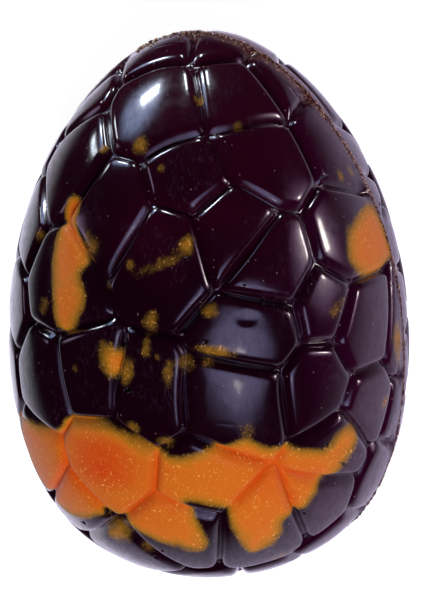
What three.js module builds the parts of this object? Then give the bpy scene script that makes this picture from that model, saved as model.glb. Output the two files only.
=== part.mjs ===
// A moulded chocolate egg with a crackle relief, made as one solid.
//
// It lies on its side: X across, +Y towards the narrow end, +Z up. Millimetres.
// It is cast as two halves in one mould and joined along a seam that runs over both ends,
// so the relief of the lower half is that of the upper half, turned half a turn round the egg.
//
// The relief is a net of grooves. Each cell of the net has a middle, and a place on the egg
// belongs to the cell whose middle vector reaches furthest in its direction. The border
// between two cells is then a plane through the middle of the egg, and the distance to the
// nearest of these planes gives the groove's profile.

import * as THREE from 'three';
import { ConvexHull } from 'three/addons/math/ConvexHull.js';

// The smooth egg that touches the crowns of the cells.
const LENGTH = 150;
const GIRTH = 107.5;
const TAPER = [1, -0.124, 0.086, -0.132];
const RESTING_DROOP = THREE.MathUtils.degToRad(4.5);
const PRESSED_FLAT = 0.8;

// The relief.
const GROOVE_DEPTH = 1.35;
const GROOVE_FLOOR = 0.3;
const GROOVE_RIM = 2.3;
const CORNER_ROUNDING = 0.4;
const CROWN = 0.4;
const CROWN_REACH = 4;
const DEPTH_UNEVENNESS = 0.15;
const WANDER = 0.4;
const WANDER_WAVES = 12;

// The seam between the halves, and the bead of chocolate squeezed out of it.
const SEAM_AROUND = 72;
const SEAM_FADE = 3.5;
const BEAD_HEIGHT = 0.5;
const BEAD_HALF_WIDTH = 0.9;
const BEAD_LUMPS = 37;

// The middles of one half's cells, from the narrow end to the blunt end:
// millimetres from the egg's middle towards the narrow end, degrees round from the top,
// and the length of the middle vector, which moves the cell's borders out or in.
const CELLS = [
  [73.8, -74, 1], [74.4, 52, 1],
  [65, 27, 1.004], [65, 62, 1], [63, -26, 1.003], [57, -105, 1], [56, -92, 1],
  [52, 25, 1.002], [52, 65, 1], [46, -7, 1.002], [45, -66, 1.01], [45, -101, 1],
  [38, -35, 1.006], [35, 6, 1.005], [32, -107, 1], [30, -13, 1.01],
  [28, 51, 0.997], [28, -80, 1.002], [25, 19, 1.002], [20, -101, 1], [19, -52, 1.005],
  [11, 36, 0.995], [9, 13, 1.006], [5, -83, 1], [4, -106, 1], [2, 51, 1.004],
  [-5, 73, 1], [-7, -37, 1], [-8, 32, 1.004], [-9, 8, 1.01], [-9, -19, 0.998],
  [-12, -56, 1.002], [-15, -88, 1], [-17, -107, 1], [-19, 51, 1], [-27, 73, 1],
  [-30, 39, 1.004], [-30, -32, 1.008], [-33, -4, 1], [-35, -61, 1], [-37, -100, 1],
  [-43, 35, 1.004], [-44, 66, 1], [-46, -50, 1], [-49, -11, 1.003], [-50, 18, 1.007],
  [-53, -98, 1], [-60, -37, 1], [-62, 55, 1], [-68, -75, 1],
  [-70, 40, 1], [-72, -10, 1], [-74.5, 35, 1], [-74.6, -55, 1],
];

// The mesh: rings of each cell at these distances in from its border.
const RING_INSETS = [0.35, 2.2, 5.5];
const RING_SHARES = [0.15, 0.5, 0.8];
const BORDER_STEP = 7;
const SEAM_RING_SHARE = 0.4;
const BISECTIONS = 40;
const SAME_POINT = 0.01;

const SEAM_ANGLE = THREE.MathUtils.degToRad(SEAM_AROUND);
const SEAM_NORMAL = new THREE.Vector3(-Math.cos(SEAM_ANGLE), 0, Math.sin(SEAM_ANGLE));
const SEAM_RIGHT = new THREE.Vector3(Math.sin(SEAM_ANGLE), 0, Math.cos(SEAM_ANGLE));
const SEAM = -1;

// ---- The smooth egg ----

function profileRadius(share) {
  const taper = TAPER.reduce((sum, factor, power) => sum + factor * share ** power, 0);
  return (GIRTH / 2) * Math.sqrt(Math.max(0, 1 - share * share)) * taper;
}

function directionOf(along, around) {
  const radius = profileRadius(along / (LENGTH / 2));
  const angle = THREE.MathUtils.degToRad(around);
  return new THREE.Vector3(radius * Math.sin(angle), along, radius * Math.cos(angle)).normalize();
}

// How far the smooth egg reaches from its middle in a direction.
function reachIn(direction) {
  const across = Math.hypot(direction.x, direction.z);
  let low = -1;
  let high = 1;
  for (let step = 0; step < BISECTIONS; step += 1) {
    const share = (low + high) / 2;
    if ((LENGTH / 2) * share * across < profileRadius(share) * direction.y) low = share;
    else high = share;
  }
  return Math.hypot((LENGTH / 2) * low, profileRadius(low));
}

// The other half of the mould: half a turn round the egg.
function halfTurn(direction) {
  return new THREE.Vector3(-direction.x, direction.y, -direction.z);
}

// ---- The net of cells on one half ----

// One corner of the net for each face of the hull round the middle vectors: the direction
// in which that face's three cells reach equally far.
function netCorners(middles) {
  const hull = new ConvexHull().setFromPoints(middles);
  return hull.faces.map((face) => {
    const points = [face.edge.prev, face.edge, face.edge.next].map((edge) => edge.head().point);
    const cells = points.map((point) => middles.indexOf(point));
    return { cells, direction: face.normal.clone().normalize() };
  });
}

// A cell's corners in order round its middle. Each is paired with the neighbour behind the
// border that runs from it to the next corner.
function cellOutline(cell, middles, corners) {
  const outwards = middles[cell].clone().normalize();
  const east = new THREE.Vector3(0, 1, 0).cross(outwards).normalize();
  const north = outwards.clone().cross(east);
  const bearing = ({ direction }) => Math.atan2(direction.dot(north), direction.dot(east));
  const own = corners.filter((corner) => corner.cells.includes(cell));
  own.sort((first, second) => bearing(first) - bearing(second));
  return own.map((corner, index) => {
    const next = own[(index + 1) % own.length];
    const neighbour = corner.cells.find((other) => other !== cell && next.cells.includes(other));
    return { direction: corner.direction, neighbour };
  });
}

function borderNormal(cell, neighbour, middles) {
  if (neighbour === SEAM) return SEAM_NORMAL;
  return middles[cell].clone().sub(middles[neighbour]).normalize();
}

// The outline kept on this half's side of the seam.
function cutAtSeam(cell, outline, middles) {
  const kept = [];
  outline.forEach((corner, index) => {
    const next = outline[(index + 1) % outline.length];
    const inside = corner.direction.dot(SEAM_NORMAL) > 0;
    const nextInside = next.direction.dot(SEAM_NORMAL) > 0;
    if (inside) kept.push(corner);
    if (inside === nextInside) return;
    const crossing = borderNormal(cell, corner.neighbour, middles).cross(SEAM_NORMAL).normalize();
    if (crossing.dot(corner.direction) + crossing.dot(next.direction) < 0) crossing.negate();
    kept.push({ direction: crossing, neighbour: inside ? SEAM : corner.neighbour });
  });
  return kept;
}

function seamBearing(direction) {
  return Math.atan2(direction.y, direction.dot(SEAM_RIGHT));
}

// Where the grooves of either half end at the seam, as bearings round the seam.
function seamStops(outlines) {
  const stops = [];
  outlines.flat().filter((corner) => corner.neighbour === SEAM).forEach((corner) => {
    stops.push(seamBearing(corner.direction), seamBearing(halfTurn(corner.direction)));
  });
  return stops;
}

// The outline with the other half's stops added along the seam.
function withSeamStops(outline, stops) {
  return outline.flatMap((corner, index) => {
    if (corner.neighbour !== SEAM) return [corner];
    const next = outline[(index + 1) % outline.length].direction;
    const start = seamBearing(corner.direction);
    const turnTo = (bearing) => Math.atan2(Math.sin(bearing - start), Math.cos(bearing - start));
    const whole = turnTo(seamBearing(next));
    const clear = SAME_POINT / GIRTH;
    const between = stops.map(turnTo).filter((turn) => {
      return turn * whole > 0 && Math.abs(turn) > clear && Math.abs(turn) < Math.abs(whole) - clear;
    });
    between.sort((first, second) => Math.abs(first) - Math.abs(second));
    const extra = between.map((turn) => {
      const direction = SEAM_RIGHT.clone().multiplyScalar(Math.cos(start + turn));
      direction.y = Math.sin(start + turn);
      return { direction, neighbour: SEAM };
    });
    return [corner, ...extra];
  });
}

function stepsBetween(start, end) {
  const reach = reachIn(start.clone().add(end).normalize());
  const steps = Math.max(1, Math.ceil((start.angleTo(end) * reach) / BORDER_STEP));
  return Array.from({ length: steps }, (_, step) => start.clone().lerp(end, step / steps).normalize());
}

function outlinePoints(outline) {
  return outline.flatMap((corner, index) => {
    return stepsBetween(corner.direction, outline[(index + 1) % outline.length].direction);
  });
}

function middleOf(directions) {
  return directions.reduce((sum, direction) => sum.add(direction), new THREE.Vector3()).normalize();
}

function halfNet() {
  const middles = CELLS.map(([along, around, length]) => directionOf(along, around).multiplyScalar(length));
  const corners = netCorners([...middles, SEAM_NORMAL.clone().negate()]);
  const outlines = middles.map((_, cell) => cellOutline(cell, middles, corners));
  const cut = outlines.map((outline, cell) => cutAtSeam(cell, outline, middles));
  const stops = seamStops(cut);
  return cut.map((outline, cell) => {
    const borders = outline.filter(({ neighbour }) => neighbour !== SEAM);
    return {
      points: outlinePoints(withSeamStops(outline, stops)),
      middle: middleOf(outline.map(({ direction }) => direction)),
      normals: borders.map(({ neighbour }) => borderNormal(cell, neighbour, middles)),
    };
  });
}

// ---- The relief ----

// Distance to the middle of the nearest groove, with the cell's corners rounded off.
function grooveGap(place, cell) {
  const nearness = cell.normals.map((normal) => Math.exp(-place.dot(normal) / CORNER_ROUNDING));
  return -CORNER_ROUNDING * Math.log(nearness.reduce((sum, value) => sum + value, 0));
}

function reliefAt(direction, place, cell) {
  const gap = grooveGap(place, cell);
  const seamGap = Math.abs(place.dot(SEAM_NORMAL));
  const smooth = THREE.MathUtils.smoothstep;
  const unevenness = 1 + DEPTH_UNEVENNESS * Math.sin(WANDER_WAVES * (direction.x + direction.y));
  const groove = GROOVE_DEPTH * unevenness * (1 - smooth(gap, GROOVE_FLOOR, GROOVE_RIM));
  const crownFall = CROWN * Math.exp(-Math.max(gap, 0) / CROWN_REACH);
  const lumps = 0.75 + 0.25 * Math.sin(BEAD_LUMPS * direction.y) * Math.cos(BEAD_LUMPS * direction.z);
  const bead = BEAD_HEIGHT * lumps * (1 - smooth(seamGap, 0, BEAD_HALF_WIDTH));
  return bead - (groove + crownFall) * smooth(seamGap, 0, SEAM_FADE);
}

// The borders wander a little from their planes.
function wander(direction) {
  const swing = WANDER / (GIRTH / 2);
  return new THREE.Vector3(
    direction.x + swing * Math.sin(WANDER_WAVES * direction.y),
    direction.y + swing * Math.sin(WANDER_WAVES * direction.z),
    direction.z + swing * Math.sin(WANDER_WAVES * direction.x),
  ).normalize();
}

function surfacePoint(direction, cell, turned) {
  const place = direction.clone().multiplyScalar(reachIn(direction));
  const relief = reliefAt(direction, place, cell);
  const real = wander(turned ? halfTurn(direction) : direction);
  return real.multiplyScalar(reachIn(real) + relief);
}

// ---- The mesh ----

// The point between a border point and the cell's middle that lies this far in.
function insetPoint(border, cell, inset) {
  const distance = (direction) => {
    const place = direction.clone().multiplyScalar(reachIn(direction));
    return Math.min(grooveGap(place, cell), place.dot(SEAM_NORMAL) * SEAM_RING_SHARE);
  };
  let low = 0;
  let high = 1;
  for (let step = 0; step < BISECTIONS / 2; step += 1) {
    const share = (low + high) / 2;
    if (distance(border.clone().lerp(cell.middle, share).normalize()) < inset) low = share;
    else high = share;
  }
  return border.clone().lerp(cell.middle, high).normalize();
}

function cellRings(cell) {
  const place = cell.middle.clone().multiplyScalar(reachIn(cell.middle));
  const deepest = Math.min(grooveGap(place, cell), place.dot(SEAM_NORMAL) * SEAM_RING_SHARE);
  const insets = RING_INSETS.map((inset, ring) => Math.min(inset, RING_SHARES[ring] * deepest));
  const inner = insets.map((inset) => cell.points.map((point) => insetPoint(point, cell, inset)));
  return [cell.points, ...inner];
}

class MeshBuilder {
  points = [];

  borderPoints = [];

  triangles = [];

  add(point) {
    this.points.push(point);
    return this.points.length - 1;
  }

  // Neighbouring cells share the points on their border.
  addShared(point) {
    const known = this.borderPoints.find((index) => this.points[index].distanceTo(point) < SAME_POINT);
    if (known !== undefined) return known;
    const index = this.add(point);
    this.borderPoints.push(index);
    return index;
  }

  // A band of triangles between two rings, each four-cornered patch split along its shorter diagonal.
  addBand(outer, inner) {
    outer.forEach((start, index) => {
      const next = (index + 1) % outer.length;
      const [a, b, c, d] = [start, outer[next], inner[next], inner[index]];
      const first = this.points[a].distanceTo(this.points[c]);
      const second = this.points[b].distanceTo(this.points[d]);
      if (first < second) this.triangles.push(a, b, c, a, c, d);
      else this.triangles.push(a, b, d, b, c, d);
    });
  }

  addCell(cell, rings, turned) {
    const indices = rings.map((ring, level) => ring.map((direction) => {
      const point = surfacePoint(direction, cell, turned);
      return level === 0 ? this.addShared(point) : this.add(point);
    }));
    for (let level = 1; level < indices.length; level += 1) {
      this.addBand(indices[level - 1], indices[level]);
    }
    const innermost = indices[indices.length - 1];
    const middle = this.add(surfacePoint(cell.middle, cell, turned));
    innermost.forEach((start, index) => {
      this.triangles.push(start, innermost[(index + 1) % innermost.length], middle);
    });
  }
}

// The egg set down on its side, with the spot it rests on pressed flat.
function setDown(points) {
  const lean = new THREE.Matrix4().makeRotationX(-RESTING_DROOP);
  points.forEach((point) => point.applyMatrix4(lean));
  const box = new THREE.Box3().setFromPoints(points);
  const centre = box.getCenter(new THREE.Vector3());
  const floor = box.min.z + PRESSED_FLAT;
  points.forEach((point) => {
    point.set(point.x - centre.x, point.y - centre.y, Math.max(point.z - floor, 0));
  });
}

function eggGeometry() {
  const builder = new MeshBuilder();
  halfNet().forEach((cell) => {
    const rings = cellRings(cell);
    builder.addCell(cell, rings, false);
    builder.addCell(cell, rings, true);
  });
  setDown(builder.points);
  const geometry = new THREE.BufferGeometry();
  const flat = builder.points.flatMap((point) => point.toArray());
  geometry.setAttribute('position', new THREE.Float32BufferAttribute(flat, 3));
  geometry.setIndex(builder.triangles);
  geometry.computeVertexNormals();
  return geometry;
}

const chocolate = new THREE.MeshStandardMaterial({ color: 0x2b1218, roughness: 0.3, metalness: 0 });
const egg = new THREE.Mesh(eggGeometry(), chocolate);
egg.name = 'chocolate_egg';

const group = new THREE.Group();
group.add(egg);

export default group;
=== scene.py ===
"""The looks of a moulded chocolate egg with a crackle relief and splashes of orange cocoa butter.

The egg lies on its side on a pale floor, narrow end towards +Y, and the camera looks down on it.
Its form is worked out in millimetres in the egg's own frame (x across, y along the egg towards
the narrow end, z to the front), from named sizes as the solid's is, and then set down like it.
"""

import itertools
import math
import random

import bmesh
import bpy
import numpy as np
from mathutils import Matrix, Vector, noise


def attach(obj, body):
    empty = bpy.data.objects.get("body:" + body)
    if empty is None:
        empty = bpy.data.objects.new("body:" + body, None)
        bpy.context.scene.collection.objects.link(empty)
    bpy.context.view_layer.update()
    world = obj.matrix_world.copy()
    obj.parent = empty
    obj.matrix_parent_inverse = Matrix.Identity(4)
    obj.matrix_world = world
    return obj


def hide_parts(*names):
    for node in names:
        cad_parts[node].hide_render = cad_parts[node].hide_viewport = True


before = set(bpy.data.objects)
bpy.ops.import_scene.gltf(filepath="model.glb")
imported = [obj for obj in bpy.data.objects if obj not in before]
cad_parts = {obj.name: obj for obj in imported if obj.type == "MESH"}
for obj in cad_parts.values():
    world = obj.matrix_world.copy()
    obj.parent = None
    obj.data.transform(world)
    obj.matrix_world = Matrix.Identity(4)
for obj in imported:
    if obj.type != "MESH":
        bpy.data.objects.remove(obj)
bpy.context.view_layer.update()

MM = 0.001

# The smooth egg that touches the crowns of the cells, as in the solid.
LENGTH = 150
GIRTH = 107.5
TAPER = (1, -0.124, 0.086, -0.132)
RESTING_DROOP = math.radians(4.5)
PRESSED_FLAT = 0.8

# The relief, on the same net as in the solid, but with deeper and steeper grooves.
GROOVE_DEPTH = 1.95
GROOVE_BOTTOM = 0.14
GROOVE_SHOULDER = 2.9
GROOVE_STEEPNESS = 2.3
CORNER_ROUNDING = 0.4
CROWN = 0.4
CROWN_REACH = 4
DEPTH_UNEVENNESS = 0.15
WANDER = 0.4
WANDER_WAVES = 12

# The seam between the halves, where the relief fades out: further on the right of the half
# behind. Its bead is lower on the left.
SEAM_AROUND = math.radians(72)
SEAM_FADE = 3.5
RIGHT_SEAM_FADE = 11
BEAD_HEIGHT = 0.42
BEAD_HALF_WIDTH = 0.6
BEAD_LEFT_SHARE = 0.3
BEAD_LEFT_REACH = 12
BEAD_LUMPS = 37
BEAD_LUMPINESS = 0.35

# The middles of one half's cells, as in the solid: millimetres along the egg towards the
# narrow end, degrees round from the front, and the length of the middle vector.
CELLS = [
    [73.8, -74, 1], [74.4, 52, 1],
    [65, 27, 1.004], [65, 62, 1], [63, -26, 1.003], [57, -105, 1], [56, -92, 1],
    [52, 25, 1.002], [52, 65, 1], [46, -7, 1.002], [45, -66, 1.01], [45, -101, 1],
    [38, -35, 1.006], [35, 6, 1.005], [32, -107, 1], [30, -13, 1.01],
    [28, 51, 0.997], [28, -80, 1.002], [25, 19, 1.002], [20, -101, 1], [19, -52, 1.005],
    [11, 36, 0.995], [9, 13, 1.006], [5, -83, 1], [4, -106, 1], [2, 51, 1.004],
    [-5, 73, 1], [-7, -37, 1], [-8, 32, 1.004], [-9, 8, 1.01], [-9, -19, 0.998],
    [-12, -56, 1.002], [-15, -88, 1], [-17, -107, 1], [-19, 51, 1], [-27, 73, 1],
    [-30, 39, 1.004], [-30, -32, 1.008], [-33, -4, 1], [-35, -61, 1], [-37, -100, 1],
    [-43, 35, 1.004], [-44, 66, 1], [-46, -50, 1], [-49, -11, 1.003], [-50, 18, 1.007],
    [-53, -98, 1], [-60, -37, 1], [-62, 55, 1], [-68, -75, 1],
    [-70, 40, 1], [-72, -10, 1], [-74.5, 35, 1], [-74.6, -55, 1],
]

# The fine mesh: rings of each cell at these distances in from its border.
RING_INSETS = (0.1, 0.25, 0.45, 0.75, 1.1, 1.45, 1.8, 2.1, 2.5, 3.2, 4.4, 6.2)
BORDER_STEP = 1.6
# Finer still near a splash's edge: in each pass, edges this close to it and longer than this are
# split. So are those in the dent, out to this share of its half-width.
DETAIL_PASSES = [(2.5, 2.0), (0.9, 1.2)]
DENT_REACH = 1.4
SEAM_RING_SHARE = 0.4
LINE_SAMPLES = 30
BISECTIONS = 40
SAME_POINT = 0.01
HULL_TOLERANCE = 1e-9

SEAM_NORMAL = np.array((-math.cos(SEAM_AROUND), 0, math.sin(SEAM_AROUND)))
SEAM_RIGHT = np.array((math.sin(SEAM_AROUND), 0, math.cos(SEAM_AROUND)))
HALF_TURN = np.array((-1, 1, -1))
SEAM = -1

# Fine relief that only the visual model has. The seam's lumps: size and share.
SEAM_ROUGHNESS = 0.34
SEAM_ROUGH_BAND = (0.3, 1.1)
SEAM_LUMPS = [(0.9, 1), (0.4, 0.6)]
TOP_UNEVENNESS = 0.05
TOP_WAVES_MM = 9

# Air bubbles that broke open at the surface. Seen ones: pixel x and y, radius, depth. The others:
# along, around, radius, depth.
SEEN_PINHOLES = [
    (118, 345, 0.45, 0.6), (54, 331, 0.45, 0.6), (86, 283, 0.45, 0.6), (188, 258, 0.4, 0.5),
    (128, 389, 1.0, 0.9), (215, 274, 0.35, 0.4), (246, 283, 0.3, 0.4), (323, 174, 0.5, 0.6),
    (380, 205, 0.6, 0.7), (204, 341, 0.4, 0.5), (207, 366, 0.35, 0.4), (326, 446, 0.65, 0.8),
    (344, 466, 0.6, 0.8), (106, 517, 0.7, 0.8), (84, 523, 0.7, 0.8), (163, 551, 0.4, 0.5),
    (154, 558, 0.35, 0.5), (222, 511, 0.5, 0.6), (267, 553, 0.35, 0.5), (305, 514, 0.4, 0.5),
    (279, 443, 0.4, 0.5), (268, 300, 0.3, 0.35),
]
HIDDEN_PINHOLES = [
    (28, 150, 0.5, 0.6), (-12, 171, 0.8, 0.8), (-36, -158, 0.5, 0.6), (8, -131, 0.45, 0.5),
    (-28, 118, 0.6, 0.7), (51, -170, 0.4, 0.5),
]
PINHOLE_CUTS = 4
PINHOLE_RIM = 0.5
PINHOLE_FLOOR = 0.35
# Painted shade in the pinholes: it fades out between these shares of a pinhole's radius.
PINHOLE_SHADE = (0.7, 1.3)

# A shallow dent in one cell: along, around, half-length along, half-width, depth.
DENT = (13, 11, 2.7, 4.2, 0.32)

# The orange splashes that the camera sees: the corners of their outlines in pixels. The patches
# are listed with how thick they lie.
BAND = [
    (46, 430), (59, 428), (60, 420), (70, 417), (82, 416), (94, 420), (106, 423), (116, 429),
    (130, 436), (146, 444), (160, 450), (172, 454), (186, 451), (198, 449), (210, 446),
    (224, 443), (236, 439), (246, 434), (254, 439), (266, 445), (280, 444), (296, 446),
    (312, 448), (323, 448), (330, 441), (338, 429), (350, 424), (359, 429), (361, 441),
    (354, 457), (343, 470), (331, 481), (320, 485), (320, 494), (310, 505), (298, 516),
    (285, 521), (287, 532), (274, 545), (254, 556), (242, 552), (234, 536), (229, 520),
    (228, 512), (214, 508), (200, 504), (187, 502), (196, 511), (205, 527), (212, 543),
    (208, 552), (194, 553), (176, 549), (156, 542), (138, 534), (124, 525), (117, 518),
    (106, 519), (94, 521), (80, 520),
]
LEFT_PATCH = [
    (66, 199), (70, 194), (75, 192), (79, 196), (81, 203), (79, 213), (77, 222), (80, 235),
    (84, 247), (89, 259), (90, 267), (84, 274), (82, 281), (87, 290), (88, 299), (85, 309),
    (80, 318), (73, 329), (64, 337), (56, 330), (52, 318), (51, 300), (52, 280), (52, 262),
    (54, 246), (58, 230), (62, 218), (63, 208),
]
SIDE_LOBE = [(83, 233), (88, 229), (92, 237), (98, 241), (101, 248), (96, 256), (90, 260), (85, 250)]
ALMOND = [
    (366, 199), (358, 206), (352, 216), (347, 230), (346, 245), (348, 259), (353, 270),
    (361, 277), (370, 279), (380, 275), (388, 267), (392, 255), (389, 241), (384, 226), (378, 211),
    (372, 201),
]
CENTRE_PATCH = [
    (97, 338), (108, 341), (118, 346), (124, 355), (123, 369), (119, 380), (108, 380), (99, 366),
]
SMALL_PATCH = [
    (187, 233), (193, 236), (195, 247), (193, 256), (184, 256), (177, 252), (176, 243), (181, 238),
]
OLIVE_PATCH = [(327, 312), (331, 305), (339, 299), (347, 297), (347, 303), (340, 316), (333, 320)]
LOW_PATCH = [
    (103, 527), (113, 523), (122, 525), (130, 533), (134, 543), (124, 546), (110, 540), (101, 534),
]
SEEN_PATCHES = [
    (LEFT_PATCH, 1.0), (SIDE_LOBE, 0.35), (ALMOND, 0.8), (CENTRE_PATCH, 0.6), (SMALL_PATCH, 0.7),
    (OLIVE_PATCH, 0.45), (LOW_PATCH, 0.4),
]

# The rest of the band, and the splashes made up for the side that isn't seen: along, around.
BAND_BEHIND = [(-50, -62), (-43, -76), (-34, -86), (-26, -80), (-23, -68)]
HIDDEN_PATCHES = [
    [
        (-8, 128), (-2, 140), (-6, 155), (-16, 163), (-28, 160), (-37, 149), (-34, 136),
        (-22, 133), (-15, 124),
    ],
    [(44, -160), (38, -148), (26, -146), (14, -152), (20, -162), (33, -166)],
    [(-40, -128), (-31, -120), (-38, -108), (-50, -112), (-58, -124), (-52, -136)],
]
OUTLINE_ROUNDINGS = 3
CORNER_CUT = 0.25
FURTHEST_OUTSIDE = 3.0
DEEPEST_PAINT = 4.2
THICK_PAINT = (0.5, 2.0)
MERIDIAN_SAMPLES = 2001

# Smaller splashes. Seen ones: pixel x and y, half-length up, half-width, lean in degrees,
# thickness. The others: along, around and the same.
SEEN_SPOTS = [
    (141, 142, 2.2, 2.1, 0, 0.9), (104, 145, 1.3, 1.1, 0, 0.5), (161, 170, 0.9, 0.9, 0, 0.35),
    (202, 95, 1.3, 1.3, 0, 0.45), (241, 121, 1.1, 1.3, 0, 0.45), (340, 172, 1.3, 1.1, 0, 0.45),
    (350, 168, 1.4, 1.2, 0, 0.45), (40, 235, 1.6, 2.6, 0, 0.45), (44, 305, 2.2, 2.4, 0, 0.4),
    (108, 283, 1.2, 1.2, 0, 0.35), (130, 264, 1.2, 1.1, 0, 0.35), (160, 264, 1.3, 5.6, 24, 0.45),
    (127, 369, 3.6, 1.6, -8, 0.6), (210, 308, 2.2, 2.1, 0, 0.6), (149, 322, 2.9, 1.9, -25, 0.45),
    (145, 347, 2.6, 1.1, 0, 0.42), (156, 357, 0.9, 0.9, 0, 0.3), (168, 372, 2.8, 1.4, 0, 0.45),
    (184, 365, 2.3, 2.3, 0, 0.3), (216, 350, 1.7, 5.0, -8, 0.75), (207, 363, 1.0, 1.4, 0, 0.3),
    (76, 370, 0.9, 0.9, 0, 0.35), (132, 427, 1.5, 1.5, 0, 0.45), (164, 441, 1.9, 2.0, 0, 0.65),
    (398, 343, 5.4, 2.6, 0, 1.1), (385, 401, 2.0, 2.0, 0, 0.5), (277, 558, 1.4, 3.2, 20, 0.5),
    (150, 551, 1.5, 2.2, -20, 0.4), (84, 531, 1.6, 6.0, -45, 0.5), (347, 508, 2.6, 0.9, -20, 0.25),
    (246, 428, 2.6, 1.8, 0, 0.3),
]
HIDDEN_SPOTS = [
    (60, 140, 2.2, 2.8, 20, 0.9), (22, 118, 3.4, 2.4, 0, 1.0), (2, 172, 2.2, 3.2, 30, 0.7),
    (-18, -170, 4.4, 2.6, 15, 1.1), (-47, 176, 2.4, 2.4, 0, 0.7), (12, -118, 2.2, 2.0, 0, 0.5),
    (36, 172, 1.8, 1.8, 0, 0.5), (-2, -142, 3.0, 2.0, -25, 0.7), (-60, 150, 2.0, 3.0, 10, 0.6),
    (50, -122, 2.0, 1.6, 0, 0.5), (-22, -112, 2.0, 2.2, 0, 0.4),
]
SPOT_GROWTH = 1.22
SPOT_EDGE = 0.6
SPOT_EXTRA = 0.12
SPOT_THROUGH = 4

# Where the colour is thick and red, or thin and ochre: pixel x and y, half-length along,
# half-width, extra thickness.
POOLS = [
    (102, 464, 11, 13, 5.5), (70, 480, 9, 8, 1.5), (268, 482, 8, 7, 1.0), (345, 446, 11, 11, -0.9),
    (86, 428, 4.5, 11, -1.5), (140, 446, 4.5, 8, -1.0), (320, 500, 9, 6, -1.0), (186, 545, 6, 9, -0.8),
]
POOL_FLAT = 0.2
# Painted shade in the grooves of the orange: how much thicker, and so deeper and darker red, the colour
# is made at a groove's middle, and over how many millimetres that fades.
RED_GROOVE_SHADE = 3.0
RED_GROOVE_SHADE_REACH = 1.4

# Crumbs along the seam, from low on the right to beyond the narrow end. There they are crowded,
# spread wider, larger and paler.
RANDOM_SEED = 7
CRUMB_COUNT = 420
CRUMBS_FROM = math.radians(5)
CRUMBS_TO = math.radians(104)
CRUMB_CROWDING = 1.7
CRUMB_SPREAD = 1.7
CRUMB_SPREAD_LOW = 0.25
CRUMB_OVERLAP = 0.3
CRUMB_RADII = (0.09, 0.26)
CRUMB_SHRINK = 0.35
CRUMB_ON_BEAD = 0.7
CRUMB_LIFT = 0.25
CRUMB_STRETCH = (0.6, 1.5)
CRUMB_ROUGHNESS = 0.35
CRUMB_PALENESS = 1.2
CRUMB_PALENESS_FALL = 0.5
CRUMB_NOISE_SPAN = 9

# The camera, as seen from the egg's middle.
CAMERA_DISTANCE = 0.9
CAMERA_LEAN = math.radians(18.87) + RESTING_DROOP
CAMERA_ROLL = math.radians(1.55)
CAMERA_LENS = 200.1
CAMERA_SHIFT = (0.0113, 0.0036)
FRAME_SIZE = (430, 600)
SENSOR = 36
SIGHT_STEPS = 400

FLOOR_HALF_WIDTH = 4.0


# ---- The smooth egg ----

def profile_radius(share):
    taper = sum(factor * share ** power for power, factor in enumerate(TAPER))
    return GIRTH / 2 * np.sqrt(np.clip(1 - share * share, 0, None)) * taper


def unit(vectors):
    return vectors / np.linalg.norm(vectors, axis=-1, keepdims=True)


def point_on_egg(along, around):
    radius = profile_radius(along / (LENGTH / 2))
    angle = math.radians(around)
    return np.array((radius * math.sin(angle), along, radius * math.cos(angle)))


def reach_in(directions):
    """How far the smooth egg reaches from its middle in each direction."""
    across = np.hypot(directions[..., 0], directions[..., 2])
    low = np.full(across.shape, -1.0)
    high = np.full(across.shape, 1.0)
    for _ in range(BISECTIONS):
        share = (low + high) / 2
        before = LENGTH / 2 * share * across < profile_radius(share) * directions[..., 1]
        low = np.where(before, share, low)
        high = np.where(before, high, share)
    return np.hypot(LENGTH / 2 * low, profile_radius(low))


def smoothstep(values, low, high):
    share = np.clip((values - low) / (high - low), 0, 1)
    return share * share * (3 - 2 * share)


LEAN = np.array(Matrix.Rotation(-RESTING_DROOP, 3, "X"))


# ---- What the camera sees ----

def camera_axes():
    """The camera's right, up and backwards directions."""
    back = np.array((0, math.sin(CAMERA_LEAN), math.cos(CAMERA_LEAN)))
    up = np.array((0, math.cos(CAMERA_LEAN), -math.sin(CAMERA_LEAN)))
    right = np.array((1.0, 0, 0))
    rolled_right = right * math.cos(CAMERA_ROLL) - up * math.sin(CAMERA_ROLL)
    rolled_up = up * math.cos(CAMERA_ROLL) + right * math.sin(CAMERA_ROLL)
    return rolled_right, rolled_up, back


def seen_at(pixels):
    """Where the camera sees pixels of its frame on the smooth egg: along it, and degrees round."""
    pixels = np.array(pixels, float)
    width, height = FRAME_SIZE
    focal = CAMERA_LENS / SENSOR * height
    x = (pixels[:, 0] - width / 2 + CAMERA_SHIFT[0] * height) / focal
    y = (height / 2 - pixels[:, 1] + CAMERA_SHIFT[1] * height) / focal
    right, up, back = camera_axes()
    sights = unit(x[:, None] * right + y[:, None] * up - back) @ LEAN
    eye = back @ LEAN * CAMERA_DISTANCE / MM
    near = np.linalg.norm(eye) - LENGTH / 2
    stops = np.linspace(near, near + LENGTH / 2, SIGHT_STEPS)
    points = eye + sights[:, None] * stops[:, None]
    radius = profile_radius(np.clip(points[..., 1] / (LENGTH / 2), -1, 1))
    inside = np.hypot(points[..., 0], points[..., 2]) < radius
    hits = points[np.arange(len(points)), inside.argmax(axis=1)]
    return np.column_stack((hits[:, 1], np.degrees(np.arctan2(hits[:, 0], hits[:, 2]))))


def placed_at(seen, hidden):
    """Things told by pixel and things told by place on the egg, all as the latter."""
    places = seen_at([thing[:2] for thing in seen])
    return [(*place, *thing[2:]) for place, thing in zip(places, seen)] + hidden


PINHOLES = placed_at(SEEN_PINHOLES, HIDDEN_PINHOLES)


# ---- The net of cells on one half ----

MIDDLES = np.array([unit(point_on_egg(along, around)) * length for along, around, length in CELLS])


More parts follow.
